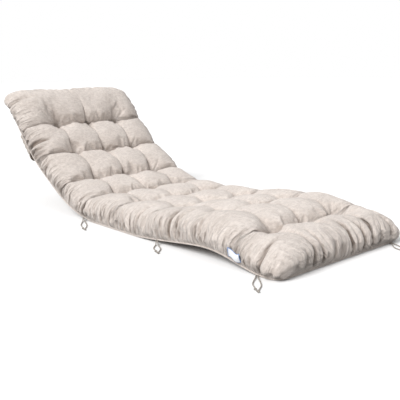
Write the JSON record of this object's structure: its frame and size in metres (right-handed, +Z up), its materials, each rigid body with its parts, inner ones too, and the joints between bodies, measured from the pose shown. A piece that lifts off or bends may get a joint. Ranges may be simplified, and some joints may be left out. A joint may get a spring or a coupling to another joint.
{
  "type": "sun lounger cushion",
  "caption": "Long tufted pad bent to a lounger's wave with a raised back, with gathered sides, a slack band across the back and cord ties along its seams.",
  "frame": {"origin": "on the ground under the middle of the pad's bounding box, ties left out", "axes": "+Z up; +Y along the pad towards the raised head end; +X across the pad, away from the side with the label"},
  "size_m": [0.6858, 1.5046, 0.4251],
  "materials": {
    "cover": "soft fine-ribbed chenille, mottled greige, matt with a faint sheen",
    "band": "plain woven cloth, matt",
    "label": "white woven tab with a plain pale blue edge, blank",
    "cord": "twisted grey-beige cord",
    "thread": "thick pale thread"
  },
  "bodies": {
    "root": {"cushion": "cover", "back_band": "band", "label_tab": "label", "tuft_thread_1_1": "thread", "tuft_thread_1_2": "thread", "tuft_thread_1_3": "thread", "tuft_thread_2_1": "thread", "tuft_thread_2_2": "thread", "tuft_thread_2_3": "thread", "tuft_thread_3_1": "thread", "tuft_thread_3_2": "thread", "tuft_thread_3_3": "thread", "tuft_thread_4_1": "thread", "tuft_thread_4_2": "thread", "tuft_thread_4_3": "thread", "tuft_thread_5_1": "thread", "tuft_thread_5_2": "thread", "tuft_thread_5_3": "thread", "tuft_thread_6_1": "thread", "tuft_thread_6_2": "thread", "tuft_thread_6_3": "thread", "tuft_thread_7_1": "thread", "tuft_thread_7_2": "thread", "tuft_thread_7_3": "thread", "tuft_thread_8_1": "thread", "tuft_thread_8_2": "thread", "tuft_thread_8_3": "thread", "tie_back_a": "cord", "tie_back_a_knot": "cord", "tie_back_b": "cord", "tie_back_b_knot": "cord", "tie_seat_a": "cord", "tie_seat_a_knot": "cord", "tie_seat_b": "cord", "tie_seat_b_knot": "cord", "tie_foot_a": "cord", "tie_foot_a_knot": "cord", "tie_foot_b": "cord", "tie_foot_b_knot": "cord", "tie_back_far_a": "cord", "tie_back_far_a_knot": "cord", "tie_back_far_b": "cord", "tie_back_far_b_knot": "cord", "tie_seat_far_a": "cord", "tie_seat_far_a_knot": "cord", "tie_seat_far_b": "cord", "tie_seat_far_b_knot": "cord", "tie_foot_far_a": "cord", "tie_foot_far_a_knot": "cord", "tie_foot_far_b": "cord", "tie_foot_far_b_knot": "cord"}
  },
  "joints": []
}
